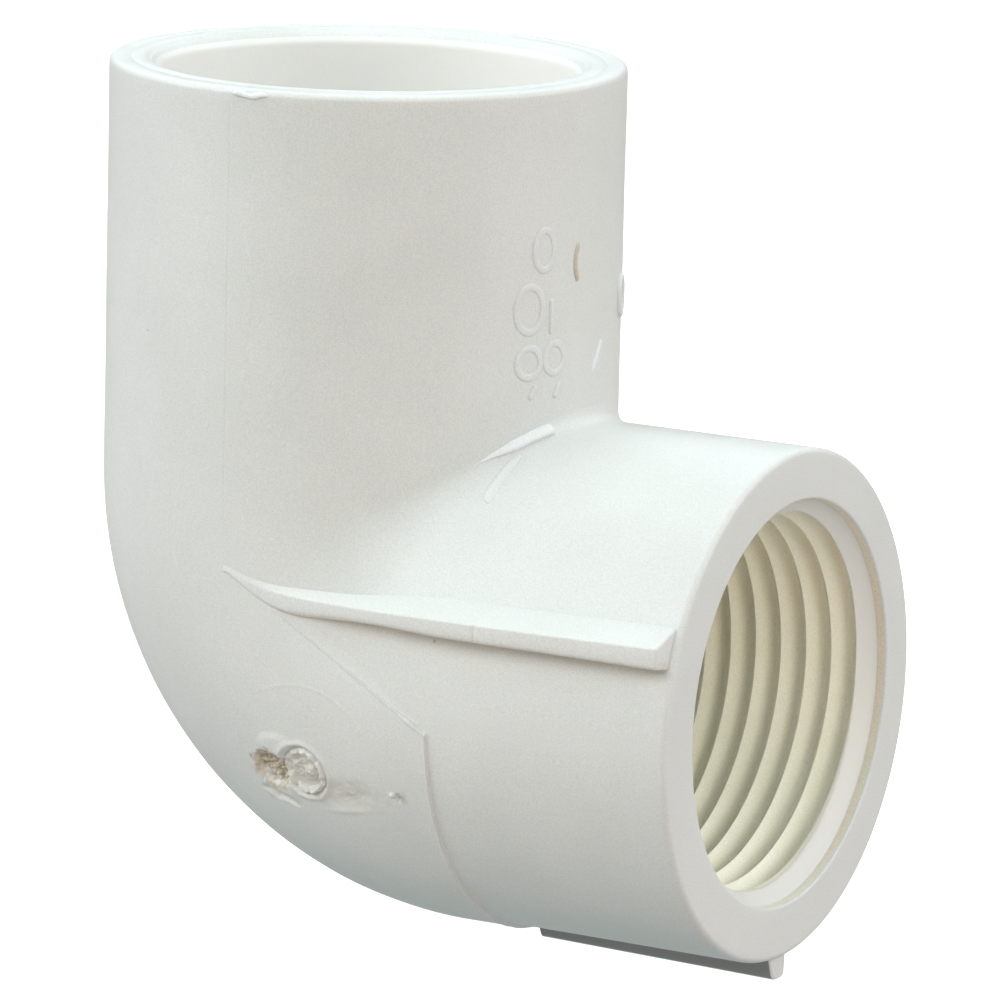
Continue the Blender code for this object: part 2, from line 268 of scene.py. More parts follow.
def core_shift(x):
    """How far off centre the core's surface lies at a place along X."""
    places, across, up = zip(*CORE_SHIFT)
    return np.stack([np.zeros_like(x), np.interp(x, places, across), np.interp(x, places, up)], axis=-1)


def bend_inner_ring(turn, sides):
    centre = np.array([BEND_R - BEND_R * math.cos(turn), 0, BEND_R - BEND_R * math.sin(turn)])
    throatward = np.array([math.cos(turn), 0, math.sin(turn)])
    sideways = np.array([0.0, 1.0, 0.0])
    return centre + WATERWAY_R * (np.cos(sides)[:, None] * throatward + np.sin(sides)[:, None] * sideways)


def socket_bore_r(z):
    share = (z - LAYING_LENGTH) / (RIM_Z - LAYING_LENGTH)
    return SOCKET_BOTTOM_R + (SOCKET_MOUTH_R - SOCKET_BOTTOM_R) * share


def crest_r(x):
    return THREAD_CREST_R + (x - THREAD_REFERENCE_X) * THREAD_TAPER


def mould_line_side(points):
    """Distance from the mould line in side view, above 0 on the throat side."""
    x, z = points[..., X], points[..., Z]
    slant = (z - LINE_TOP_Z + LINE_SLOPE * x) / math.hypot(1, LINE_SLOPE)
    return np.maximum(np.minimum(x, slant), x - LINE_ROUND_X)


def gate_axes():
    """Unit directions across the gate, up it and out of it."""
    normal = GATE_NORMAL / np.linalg.norm(GATE_NORMAL)
    across = np.array([1.0, 0.0, 0.0]) - normal * normal[X]
    across /= np.linalg.norm(across)
    up = np.cross(across, normal)
    return across, up if up[Z] > 0 else -up, normal


def patch(u, v, centre, size, tilt, edge):
    """1 inside a tilted oval, falling to 0 over edge, a share of its size."""
    c, s = math.cos(math.radians(tilt)), math.sin(math.radians(tilt))
    du, dv = u - centre[0], v - centre[1]
    r = np.hypot((du * c + dv * s) / size[0], (dv * c - du * s) / size[1])
    return 1 - smooth01((r - 1 + edge) / edge)


def gate_relief(points):
    """Height of the torn gate scar above the wall round it."""
    across, up, _ = gate_axes()
    u, v = (points - GATE) @ across, (points - GATE) @ up
    near = (np.hypot(u, v) < GATE_SCAR_R) & (points[..., Y] < 0)
    p, u, v = points[near], u[near], v[near]
    rough = soft_noise(p, 1.7)
    fine = soft_noise(p, 5.0, 7.0)
    wobble = 0.12 * rough
    relief = sum(oval[0] * patch(u, v, *oval[1:]) for oval in GATE_OVALS)
    # A faint circle where the gate's insert met the mould. It fades below the gate.
    relief += 0.022 * bell(np.hypot(u * 0.98 - 0.1, v - 0.4) - 5.45, 0.10) * smooth01((v + 1.0) / 2.0)
    # A shallow sink to the right, shaped like a thumb.
    relief -= 0.12 * patch(u, v, (3.3 + wobble, -1.0), (2.8, 1.35), 8, 0.85) * (1 + 0.8 * rough + 0.5 * fine)
    # The torn pit on the left, and the crescent scraped below it.
    pit = patch(u + 1.6 * wobble, v, (-2.78, -0.45), (1.6, 1.35), -15, 0.3)
    relief -= 0.50 * pit * (1 + 0.9 * fine + 0.5 * rough)
    relief -= 0.34 * patch(u, v + wobble, (-2.7, -2.62), (1.85, 0.40), -10, 0.8)
    # The seat of the gate itself, and its raised edge.
    r = np.hypot(u + 0.1, v)
    relief -= 0.30 * (1 - smooth01((r - 1.55) / 0.45))
    relief += 0.10 * bell(r - 1.95 - 0.1 * rough, 0.22)
    height = np.zeros(points.shape[:-1])
    height[near] = relief
    return height


def wall_relief(points, turns):
    """Height of the moulded wall above the drawn one, in a grid of points whose rows lie at these turns."""
    x, y, z = points[..., X], points[..., Y], points[..., Z]
    side = mould_line_side(points)
    on_round = (x > LINE_ROUND_X - 0.6) & (z < 0)
    # At the mould line the wall steps down to the slimmer outlet: sharply where the line goes round, less
    # sharply along its slant on the near side, and softly on the far side.
    softness = np.where(on_round, 0.14, np.where(y > 0, 5.0, 0.7))
    blend = smooth01((np.degrees(turns) - 28.0) / 50.0)[:, None]
    step = (HUB_R - BARREL_R) * blend * smooth01(side / softness + 0.5)
    # The mould line itself is a groove down the socket and a ridge round the outlet.
    line = np.where((z > LINE_TOP_Z) & (x < 3) & (np.abs(y) > 1.5), -0.028, 0.0)
    line = np.where(on_round, 0.050 + 0.06 * smooth01(-z / 16.0), line) * bell(side + 0.02, 0.055)
    wave = 0.010 * np.sin(x * 0.9 + 1.3) * np.sin(z * 0.55 + 0.4)
    return line + wave - step + gate_relief(points)


def grid_normals(points):
    """Outward normals of a grid of points whose rows are closed rings."""
    along = np.gradient(points, axis=0)
    padded = np.concatenate([points[:, -1:], points, points[:, :1]], axis=1)
    around = (padded[:, 2:] - padded[:, :-2]) / 2
    normals = np.cross(along, around)
    normals /= np.maximum(np.linalg.norm(normals, axis=2, keepdims=True), 1e-9)
    outward = np.sum(normals * points, axis=2).mean()
    return normals if outward > 0 else -normals


def moulded_wall(material):
    """The wall of the whole fitting as one closed surface: socket, bend and outlet."""
    # Points lie closer where the mould line crosses, at 90 and 270 degrees, and over the gate.
    sides = np.radians(spans(
        (0, 86, 1.25), (86, 94, 0.3), (94, 232, 1.25), (232, 269, 0.28), (269, 271, 0.1), (271, 360, 1.2)
    ))
    # They lie closest where the mould line goes round, near the end of the bend.
    turns = np.radians(spans(
        (0, 50, 1.0), (50, 78, 0.2), (78, 80.5, 0.3), (80.5, 86.5, 0.09), (86.5, 90.2, 0.5)
    ))
    turns[-1] = math.pi / 2
    hub = [ring_z(HUB_R, z, sides) for z in np.linspace(RIM_Z - 0.9, PIVOT, 34)[:-1]]
    drawn = np.array(hub + [bend_outer_ring(turn, sides) for turn in turns])
    row_turns = np.concatenate([np.zeros(len(hub)), turns])
    drawn += grid_normals(drawn) * wall_relief(drawn, row_turns)[..., None]

    rings = [ring_z(r, z, sides) for r, z in slip_rim_profile()]
    rings += list(drawn)
    rings += [ring_x(BARREL_R, x, sides) for x in np.linspace(PIVOT, FACE_X - 1.0, 18)[1:]]
    rings += [ring_x(r, x, sides) + share * core_shift(np.float64(x)) for r, x, share in outlet_mouth_profile()]
    return closed_tube("moulded_wall", rings + bore_rings(sides), material)


def bore_rings(sides):
    """The inside, from the pocket of the thread's sleeve through the waterway to the lip of the socket."""
    pocket_r = sleeve_r() + POCKET_GAP
    rings = [
        ring_x(pocket_r, SLEEVE_START_X - SLEEVE_SHOULDER + POCKET_GAP, sides),
        ring_x(pocket_r - SLEEVE_NARROWING, LAYING_LENGTH, sides),
        ring_x(WATERWAY_R, LAYING_LENGTH, sides),
    ]
    rings += [bend_inner_ring(turn, sides) for turn in np.linspace(math.pi / 2, 0, 30)]
    rings += [ring_z(r, LAYING_LENGTH, sides) for r in (WATERWAY_R, SOCKET_BOTTOM_R)]
    heights = np.linspace(LAYING_LENGTH, RIM_Z - SOCKET_LIP - 0.2, 12)[1:]
    return rings + [ring_z(socket_bore_r(z), z, sides) for z in heights]


def slip_rim_profile():
    """(radius, height) from the end of the bore, over the lip and the flat rim, to the outer wall."""
    bore = socket_bore_r(RIM_Z)
    points = [(bore + out, RIM_Z - down) for out, down in SLIP_RIM]
    for a in np.linspace(math.pi / 2, 0, 8):
        r = HUB_R - EDGE_ROUNDING + EDGE_ROUNDING * math.cos(a)
        points.append((r, RIM_Z - EDGE_ROUNDING + EDGE_ROUNDING * math.sin(a)))
    return points


def outlet_mouth_profile():
    """(radius, place along X, share of the core's shift) from the outer wall to the foot of the mouth."""
    points = []
    for a in np.linspace(0, math.pi / 2, 8):
        r = BARREL_R - EDGE_ROUNDING + EDGE_ROUNDING * math.cos(a)
        points.append((r, FACE_X - EDGE_ROUNDING + EDGE_ROUNDING * math.sin(a), 0.0))
    points += [(r, FACE_X, 0.0) for r in np.linspace(BARREL_R - 0.9, MOUTH_R + 0.7, 5)]
    for a in np.linspace(math.pi / 2, math.pi, 7):
        r = MOUTH_R + MOUTH_ROUNDING + MOUTH_ROUNDING * math.cos(a)
        points.append((r, FACE_X - MOUTH_ROUNDING + MOUTH_ROUNDING * math.sin(a), 1.0))
    points.append((MOUTH_FOOT_R, SLEEVE_START_X, 1.0))
    return points


def sleeve_r():
    return crest_r(FACE_X) + THREAD_DEPTH + SLEEVE_WALL


def thread_surface_r(x, t):
    """Radius of the bore at a place along X and an angle from +Y towards +Z, between -pi and pi."""
    lead_in = MOUTH_FOOT_R - LEAD_IN_SLOPE * (SLEEVE_START_X - x)
    unthreaded = np.maximum(crest_r(x), lead_in)
    first_crest = THREAD_REFERENCE_X + THREAD_PITCH * t / (2 * math.pi)
    behind = first_crest - x
    from_root = np.hypot(np.mod(behind, THREAD_PITCH) - THREAD_PITCH / 2, ROOT_ROUNDING)
    depth = THREAD_DEPTH - np.maximum(from_root - ROOT_HALF_WIDTH, 0) / math.tan(THREAD_HALF_ANGLE)
    run_in = np.where(behind < THREAD_PITCH, smooth01((math.pi - t) / THREAD_RUN_IN), 1.0)
    threaded = crest_r(x) + np.maximum(depth, 0) * smooth01(behind / 0.05) * run_in
    # The larger of the two, with a soft edge between them.
    return (unthreaded + threaded + np.hypot(unthreaded - threaded, CREST_SOFTNESS)) / 2


def thread_sleeve(material):
    """The lead-in cone, the tapered thread behind it, and the sleeve that they are cut in.

    The rows of points wind with the thread, so each crest lies along one row. A row that leaves the sleeve is
    held at its end, and where a turn closes it meets the row one pitch further on.
    """
    count = 336
    t = np.linspace(-math.pi, math.pi, count, endpoint=False)
    # Rows in one turn, as shares of the pitch: closest at the crest, and the same on both flanks.
    half = np.concatenate([[0.0, 0.03, 0.047, 0.062, 0.09], np.linspace(0.13, 0.46, 8)])
    shares = np.concatenate([half, [0.5], 1 - half[:0:-1]])
    rows = np.array([THREAD_REFERENCE_X + THREAD_PITCH * (m - f) for m in range(2, -11, -1) for f in shares])
    x = np.clip(rows[:, None] + THREAD_PITCH * t / (2 * math.pi), SLEEVE_END_X, SLEEVE_START_X)

    def points_at(r, x):
        return np.stack([x, r * np.cos(t), r * np.sin(t)], axis=-1)

    def bore_at(x):
        return points_at(thread_surface_r(x, t), x) + core_shift(x)

    bore = bore_at(x)
    faces = grid_faces(len(rows), count, False, False)
    a_turn, last = len(shares), count - 1
    for i in range(a_turn, len(rows) - 1):
        ahead = (i - a_turn) * count
        faces.append([i * count + last, ahead, ahead + count, (i + 1) * count + last])
    # The sleeve's own outside, from the mouth round to the inner end of the thread.
    level = np.ones(count)
    rings = [
        bore_at(SLEEVE_START_X * level),
        points_at(MOUTH_R + 0.3, (SLEEVE_START_X - 0.03) * level),
        points_at(sleeve_r(), (SLEEVE_START_X - SLEEVE_SHOULDER) * level),
        points_at(sleeve_r() - SLEEVE_NARROWING, SLEEVE_END_X * level),
        bore_at(SLEEVE_END_X * level),
    ]
    shell = np.array(grid_faces(len(rings), count, False, True)) + len(rows) * count
    points = np.concatenate([bore.reshape(-1, 3), np.array(rings).reshape(-1, 3)])
    return mesh_piece("thread_sleeve", points, faces + shell.tolist(), material, 40.0)


# ---------------------------------------------------------------- ribs

# The near rib's upper and lower outer edges in side view, as (x, z).
RIB_TOP_LINE = np.array([
    (0.0, 7.68), (1.0, 7.36), (2.6, 6.82), (4.2, 6.60), (6.1, 6.51),
    (9.3, 6.48), (13.4, 6.50), (17.7, 6.55), (24.8, 6.61), (31.7, 6.77),
])
RIB_LOW_LINE = np.array([
    (0.0, 7.60), (1.4, 6.70), (3.0, 5.82), (4.4, 5.36), (6.1, 5.23),
    (10.2, 5.55), (13.5, 5.36), (17.7, 5.18), (24.8, 5.34), (31.7, 5.23),
])
# How far out the rib stands at its tip, the nick across it, and the rounding of its end.
RIB_TIP_OUT = 16.70
RIB_NICK_X = 18.6
RIB_ROUNDING = 0.14

BOTTOM_RIB_HALF = 1.05
BOTTOM_RIB_ROOT_Z = -15.9
BOTTOM_RIB_ROUNDING = 0.16


def side_surface_y(x, z):
    """How far the wall stands from the middle plane at a place in side view."""
    if x >= PIVOT:
        return math.sqrt(max(BARREL_R**2 - z * z, 0))
    turn = math.atan2(PIVOT - z, PIVOT - x)
    distance = math.hypot(PIVOT - x, PIVOT - z)
    offsets = np.linspace(-HUB_R, HUB_R, 400)
    reach = bend_distance(offsets, turn)
    offset = float(np.interp(-distance, -reach, offsets))
    return math.sqrt(max(HUB_R**2 - offset**2, 0))


def rounded_end(end, rounding):
    """Places along a rib over its rounded end."""
    return end - rounding * (1 - np.sin(np.linspace(0, math.pi / 2, 6)))


def end_inset(x, end, rounding):
    """How far a rib's faces draw in at a place along it, for its end to be rounded."""
    share = max(0.0, (x - (end - rounding)) / rounding)
    return rounding * (1 - math.sqrt(max(0.0, 1 - share * share)))


def near_rib(material):
    """The grip rib: it rises from the mould line in a sharp tip and runs along the outlet as a ledge."""
    xs = np.concatenate([
        spans((0.05, 5.0, 0.15), (5.0, 18.0, 0.5)),
        RIB_NICK_X + np.linspace(-0.3, 0.3, 5),
        spans((19.2, 31.2, 0.6)),
        rounded_end(RIB_END_X, RIB_ROUNDING),
    ])
    tops = np.interp(xs, *smooth_path(RIB_TOP_LINE, 80).T)
    lows = np.minimum(np.interp(xs, *smooth_path(RIB_LOW_LINE, 80).T), tops - 0.05)
    outs = RIB_TIP_OUT + (RIB_OUT - 0.05 - RIB_TIP_OUT) * smooth01((xs - 4.0) / 12.0)
    outs -= 0.10 * bell(xs - RIB_NICK_X, 0.12)
    crests = tops + 0.45 + 0.45 * smooth01((xs - 8) / 8)
    sections = []
    for x, top, low, out, crest in zip(xs, tops, lows, outs, crests):
        crease = min(side_surface_y(x, crest) - 0.05, out - 0.02)
        foot = min(side_surface_y(x, low) - 0.15, out - 0.02)
        inset = end_inset(x, RIB_END_X, RIB_ROUNDING)
        corners = [
            (crease - 0.6, crest - 0.15),
            (crease, crest - inset * 0.6),
            (out - inset, top - inset),
            (out - inset, low + 0.12 + inset),
            (foot, low - 0.14 + inset * 0.5),
            (foot - 0.6, low + 0.3),
        ]
        outline = rounded_outline(corners, (0.05, 0.05, 0.14, 0.28, 0.05, 0.05))
        sections.append([(x, -y, z) for y, z in outline])
    return loft("rib_near_side", sections, material, 40.0)


def bottom_rib(material):
    """The rib under the outlet, square at its start and rounded at its end."""
    xs = np.concatenate([
        BOTTOM_RIB_X + np.array([0.0, 0.05, 0.2]),
        np.linspace(BOTTOM_RIB_X + 0.8, BOTTOM_RIB_END - 0.3, 14),
        rounded_end(BOTTOM_RIB_END, BOTTOM_RIB_ROUNDING),
    ])
    sections = []
    for x in xs:
        share = (x - BOTTOM_RIB_X) / (BOTTOM_RIB_END - BOTTOM_RIB_X)
        bottom = BOTTOM_RIB_Z + 0.25 * (1 - share)
        inset = 0.06 if x == xs[0] else end_inset(x, BOTTOM_RIB_END, BOTTOM_RIB_ROUNDING)
        corners = [
            (-BOTTOM_RIB_HALF - 0.15, BOTTOM_RIB_ROOT_Z),
            (BOTTOM_RIB_HALF, BOTTOM_RIB_ROOT_Z),
            (BOTTOM_RIB_HALF - inset, bottom + inset),
            (-BOTTOM_RIB_HALF + 0.55 + inset, bottom + inset),
        ]
        outline = rounded_outline(corners, (0.05, 0.05, 0.4, 0.5), 6)
        sections.append([(x, y + 0.1, z) for y, z in outline])
    return loft("rib_below", sections, material, 40.0)


# ---------------------------------------------------------------- small details


def bead(name, path, normals, half_width, height, material, sink=0.15, flat=0.0, end_share=0.12):
    """A low rounded strip laid on the wall along a path, thinning at both ends."""
    count = len(path)
    half_width, height = np.broadcast_to(half_width, count), np.broadcast_to(height, count)
    normals = normals / np.linalg.norm(normals, axis=1, keepdims=True)
    tangents = np.gradient(path, axis=0)
    tangents /= np.linalg.norm(tangents, axis=1, keepdims=True)
    across = np.cross(normals, tangents)
    profile = [(math.cos(a), math.sin(a) ** (1 - flat)) for a in np.linspace(0, math.pi, 9)]
    sections = []
    for i, s in enumerate(np.linspace(0, 1, count)):
        ends = min(1.0, min(s, 1 - s) / end_share)
        size = math.sqrt(max(0.02, ends * (2 - ends)))
        side, up = across[i] * half_width[i] * size, normals[i] * height[i] * size
        ring = [path[i] + side * c + up * h for c, h in profile]
        ring += [path[i] - side - normals[i] * sink, path[i] + side - normals[i] * sink]
        sections.append(ring)
    return loft(name, sections, material, 50.0)


def hub_point(degrees, z):
    """A point on the socket's wall at an angle from +X towards -Y."""
    a = math.radians(degrees)
    return np.array([HUB_R * math.cos(a), -HUB_R * math.sin(a), z])


def hub_ring_mark(name, degrees, z, size, height, material):
    """A raised ring on the socket, as a closed bead. Its size is the half width and half height of the ring."""
    half_width, sink = 0.25, 0.15
    rings = []
    for turn in np.linspace(0, 2 * math.pi, 56, endpoint=False):
        place = degrees - math.degrees(size[0] * math.cos(turn) / HUB_R)
        a = math.radians(place)
        centre = hub_point(place, z + size[1] * math.sin(turn))
        normal = hub_point(place, 0.0) / HUB_R
        sideways = np.array([math.sin(a), math.cos(a), 0.0])
        out = sideways * size[1] * math.cos(turn) + np.array([0, 0, size[0] * math.sin(turn)])
        out *= half_width / np.linalg.norm(out)
        ring = [centre + out * math.cos(b) + normal * height * math.sin(b) for b in np.linspace(0, math.pi, 9)]
        ring += [centre - out - normal * sink, centre + out - normal * sink]
        rings.append(ring)
    return closed_tube(name, rings, material, 50.0)


def hub_bar_mark(name, degrees, z, length, lean, bow, material):
    """A raised bar on the socket: lean moves its ends apart, and bow its middle, both in millimetres."""
    half_width, height = 0.19, 0.12
    s = np.linspace(-1, 1, 20)
    places = degrees - np.degrees((lean * s / 2 + bow * (1 - s * s)) / HUB_R)
    path = np.array([hub_point(place, z + share * length / 2) for place, share in zip(places, s)])
    normals = np.array([hub_point(place, 0.0) for place in places])
    return bead(name, path, normals, half_width, height, material)


def gate_height(u, v, place):
    """Height of the gate's broken face: a rolled rim open on the left, a curved tear and two bumps."""
    r = math.hypot(u, v)
    rough = noise.noise(Vector(place * 2.4))
    fine = noise.noise(Vector(place * 6.5 + 3.0))
    open_side = bell(abs(math.degrees(math.atan2(v, u))) - 180, 50)
    rim = bell(r - 1.42 - 0.07 * rough, 0.24) * (1 - 0.7 * open_side) * (0.8 + 0.7 * rough)
    tear = bell(r - 1.02 - 0.08 * rough, 0.13) * (1 - open_side)
    bumps = bell(math.hypot(u - 0.45, v - 0.12), 0.4) + 0.8 * bell(math.hypot(u + 0.75, v - 0.45), 0.3162)
    edge_fall = 2.6 * max(0.0, r - 1.6)
    return -0.24 + 0.36 * rim - 0.40 * tear + 0.28 * bumps + 0.11 * fine + 0.10 * rough - edge_fall


def gate_stub(material):
    """The gate's broken-off end, a low disc."""
    radius, depth = 1.78, 0.9
    radial, around = 26, 96
    across, up, normal = gate_axes()
    turns = np.linspace(0, 2 * math.pi, around, endpoint=False)
    points = []
    for r in np.linspace(0, radius, radial) + 0.001:
        for a in turns:
            u, v = r * math.cos(a), r * math.sin(a)
            place = GATE + across * u + up * v
            points.append(place + normal * gate_height(u, v, place))
    root_r = radius - 0.08
    points += [GATE + root_r * (across * math.cos(a) + up * math.sin(a)) - normal * depth for a in turns]
    faces = grid_faces(radial + 1, around, False, True)
    faces.append(list(range(around)))
    faces.append(list(range(radial * around, (radial + 1) * around)))
    return mesh_piece("gate_tear", points, faces, material, 60.0)


def rim_flash_far(material):
    """A scrap of flash that stands on the far side of the rim, where the mould line crosses it."""
    s = np.linspace(-1, 1, 22)
    path = ring_z(HUB_R - 0.22, RIM_Z - 0.10, np.radians(90.0 + 4.6 * s))
    normals = np.tile([0.0, 0.35, 1.0], (len(s), 1))
    height = 0.40 * (1 - s * s) ** 0.6 + 0.10 * bell(s - 0.3, 0.2)
    return bead("rim_flash_far", path, normals, 0.13, height, material, end_share=0.2)


def rim_flash_near(material):
    """A scrap of flash that hugs the near edge of the rim, beside the mould line."""
    s = np.linspace(0, 1, 18)
    sides = np.radians(270.3 + 8.6 * s)
    path = ring_z(HUB_R - 0.02, RIM_Z - 0.36, sides)
    path[:, Z] += 0.07 * np.sin(9 * s)
    half_width = 0.17 + 0.06 * np.sin(7 * s) ** 2
    height = 0.13 + 0.07 * bell(s - 0.15, 0.15)
    return bead("rim_flash_near", path, ring_z(1.0, 0.5, sides), half_width, height, material, end_share=0.15)


def throat_bar(material):
    """Flash that stands up in the crease beside the throat."""
    path = smooth_path(np.array([
        (16.48, -3.5, 16.64), (16.0, -4.9, 16.42), (15.4, -6.4, 15.93),
        (14.9, -7.5, 15.52), (14.3, -8.5, 15.2), (13.7, -9.4, 14.85),
    ]), 26)
    s = np.linspace(0, 1, len(path))
    normals = np.tile([0.62, -0.45, 0.62], (len(path), 1))
    half_width = 0.40 - 0.22 * smooth01((s - 0.45) / 0.4)
    height = 0.27 * (1 - smooth01((s - 0.5) / 0.5)) + 0.02
    return bead(
        "throat_flash_bar", path, normals, half_width, height, material, sink=0.5, flat=0.6, end_share=0.07
    )


def throat_branch(material):
    """The branch of that flash, which sinks into the wall as it runs down the outlet."""
    path = smooth_path(np.array([
        (15.75, -6.5, 15.35), (15.55, -8.0, 14.5), (15.5, -9.4, 13.62), (15.6, -10.6, 12.82),
    ]), 22)
    s = np.linspace(0, 1, len(path))
    outward = np.array([0.35, -0.62, 0.70])
    path -= np.outer(0.10 * s**2, outward)
    normals = np.tile(outward, (len(path), 1))
    half_width = 0.26 + 0.22 * s
    height = 0.12 * (1 - s) + 0.05
    return bead(
        "throat_flash_branch", path, normals, half_width, height, material, sink=0.5, flat=0.2, end_share=0.25
    )


def mould_line_bead(material):
    """The thin witness line that slants down the near side from the foot of the rib to the outlet."""
    line = smooth_path(np.array([(3.4, 5.68), (7.22, 3.42), (11.75, 0.80), (14.2, -0.62), (14.95, -1.3)]), 60)
    path = np.array([(x, -side_surface_y(x, z), z) for x, z in line])
    normals = np.tile([0.0, -1.0, 0.0], (len(path), 1))
    blob = bell(path[:, X] - 13.9, 0.45)
    half_width, height = 0.075 + 0.10 * blob, 0.035 + 0.06 * blob
    return bead("mould_line", path, normals, half_width, height, material, sink=0.35, end_share=0.1)


def smooth_path(points, count):
    """Evenly spaced points on a smooth curve near the given ones, from the first to the last."""
    fine_count, reach = 200, 20
    steps = np.arange(len(points))
    fine = np.linspace(0, len(points) - 1, fine_count)
    kernel = np.ones(2 * reach + 1) / (2 * reach + 1)
    columns = [np.pad(np.interp(fine, steps, column), reach, mode="edge") for column in points.T]
    curve = np.stack([np.convolve(column, kernel, mode="valid") for column in columns], axis=1)
    length = np.concatenate([[0], np.cumsum(np.linalg.norm(np.diff(curve, axis=0), axis=1))])
    even = np.linspace(0, length[-1], count)
    return np.stack([np.interp(even, length, column) for column in curve.T], axis=1)


# ---------------------------------------------------------------- materials

# The two whites that each piece's plastic drifts between, (light, dark).
BODY_WHITE = ((0.80, 0.80, 0.775), (0.77, 0.77, 0.745))
DETAIL_WHITE = ((0.82, 0.82, 0.795), (0.79, 0.79, 0.765))
# Painted highlight: a lighter copy of the white for the flash scraps and one slanted bar, so they read as
# catching the light.
PAINTED_HIGHLIGHT_WHITE = ((0.92, 0.925, 0.91), (0.88, 0.885, 0.87))
# Painted light: the thread's white is lighter and warmer than the body's, painting the warm light bounced about
# inside the outlet.
THREAD_PAINTED_BOUNCE = ((0.93, 0.905, 0.77), (0.90, 0.87, 0.73))
STAINED_TAN = ((0.66, 0.59, 0.48), (0.58, 0.51, 0.41))
GRAIN_SCALE = 9500.0

# Stains round the gate, as (centre, size, share, colour).
GATE_STAINS = (
    ((8.9, -15.5, -6.0), (3.2, 1.6, 1.5), 0.50, (0.62, 0.585, 0.51, 1)),
    ((5.4, -15.5, -5.2), (2.2, 1.8, 2.0), 0.45, (0.60, 0.53, 0.42, 1)),
    ((3.2, -14.0, -7.3), (1.9, 1.3, 0.6), 0.40, (0.50, 0.46, 0.38, 1)),
    ((13.0, -15.6, -5.6), (0.4, 0.8, 0.5), 0.60, (0.45, 0.44, 0.33, 1)),
)


def grey(value):
    return (value, value, value, 1)


class Nodes:
    """Adds nodes to one node tree. Each method after feed gives the output of what it added."""

    def __init__(self, tree, coordinates):
        self.tree = tree
        self.coordinates = self.add("TexCoord").outputs[coordinates]

    def add(self, kind, **settings):
        node = self.tree.nodes.new("ShaderNode" + kind)
        for name, value in settings.items():
            setattr(node, name, value)
        return node

    def feed(self, socket, value):
        """Links a socket to another node's output, or sets it to a plain value."""
        if isinstance(value, bpy.types.NodeSocket):
            self.tree.links.new(value, socket)
        else:
            socket.default_value = value

    def math(self, operation, *values):
        node = self.add("Math", operation=operation)
        for socket, value in zip(node.inputs, values):
            self.feed(socket, value)
        return node.outputs["Value"]

    def mix(self, factor, first, second, blend_type="MIX"):
        node = self.add("Mix", data_type="RGBA", blend_type=blend_type)
        self.feed(node.inputs["Factor"], factor)
        self.feed(node.inputs[6], first)
        self.feed(node.inputs[7], second)
        return node.outputs[2]

    def noise(self, scale, detail):
        node = self.add("TexNoise")
        node.inputs["Scale"].default_value = scale
        node.inputs["Detail"].default_value = detail
        self.feed(node.inputs["Vector"], self.coordinates)
        return node.outputs["Fac"]

    def ramp(self, source, stops):
        node = self.add("ValToRGB")
        ramp = node.color_ramp
        ramp.elements[0].position, ramp.elements[0].color = stops[0]
        ramp.elements[1].position, ramp.elements[1].color = stops[-1]
        for position, colour in stops[1:-1]:
            ramp.elements.new(position).color = colour
        self.feed(node.inputs["Fac"], source)
        return node.outputs["Color"]

    def ramp_mm(self, source, start, stops):
        """A ramp over the millimetre that begins at start, for a source in metres."""
        return self.ramp(self.math("MULTIPLY_ADD", source, 1 / MM, -start), stops)

    def along(self, axis):
        node = self.add("SeparateXYZ")
        self.feed(node.inputs["Vector"], self.coordinates)
        return node.outputs[axis]

    def length(self, vector):
        node = self.add("VectorMath", operation="LENGTH")
        self.feed(node.inputs[0], vector)
        return node.outputs["Value"]

    def distance_in(self, *axes):
        """Distance from the origin in the plane of two axes."""
        node = self.add("CombineXYZ")
        for axis in axes:
            self.feed(node.inputs[axis], self.along(axis))
        return self.length(node.outputs["Vector"])

    def stain(self, centre, size, rough, sharpness):
        """1 in a ragged oval blot round a place on the object, 0 away from it."""
        node = self.add("Mapping", vector_type="TEXTURE")
        node.inputs["Location"].default_value = [c * MM for c in centre]
        node.inputs["Scale"].default_value = [s * MM for s in size]
        self.feed(node.inputs["Vector"], self.coordinates)
        ragged = self.math("MULTIPLY", self.math("SUBTRACT", rough, 0.5), 1.6)
        edge = self.math("ADD", self.length(node.outputs["Vector"]), ragged)
        return self.ramp(edge, [(1 - sharpness, grey(1)), (1.0, grey(0))])


def dark_specks(graph, colour):
    """Tiny dark inclusions, one in some of the cells of a Voronoi pattern."""
    cells = graph.add("TexVoronoi")
    cells.inputs["Scale"].default_value = 330.0
    graph.feed(cells.inputs["Vector"], graph.coordinates)
    near = graph.ramp(cells.outputs["Distance"], [(0.022, grey(1)), (0.042, grey(0))])
    chosen = graph.math("GREATER_THAN", cells.outputs["Color"], 0.80)
    share = graph.math("MULTIPLY", graph.math("MULTIPLY", near, chosen), 0.55)
    return graph.mix(share, colour, (0.30, 0.26, 0.20, 1))


def socket_bore_painted_light(graph, colour):
    """Painted light: the socket's bore, a little lighter than the outside."""
    inside = graph.math("LESS_THAN", graph.distance_in("X", "Y"), (SOCKET_MOUTH_R + 0.26) * MM)
    high = graph.math("GREATER_THAN", graph.along("Z"), (LAYING_LENGTH + 0.1) * MM)
    return graph.mix(graph.math("MULTIPLY", inside, high), colour, (0.865, 0.845, 0.81, 1))


def mouth_wall_painted_shade(graph, colour):
    """Painted shade, beige and speckled, on the short wall of the outlet's mouth."""
    within = graph.ramp_mm(graph.distance_in("Y", "Z"), MOUTH_R - 0.15, [(0.45, grey(1)), (0.60, grey(0))])
    stops = [(0.1, grey(0)), (0.3, grey(1)), (0.74, grey(1)), (0.84, grey(0))]
    on_wall = graph.ramp_mm(graph.along("X"), FACE_X - 1.0, stops)
    grain = graph.noise(GRAIN_SCALE, 2.0)
    speckled_painted_shade = graph.ramp(grain, [(0.35, (0.80, 0.70, 0.55, 1)), (0.65, (0.88, 0.84, 0.74, 1))])
    return graph.mix(graph.math("MULTIPLY", within, on_wall), colour, speckled_painted_shade)


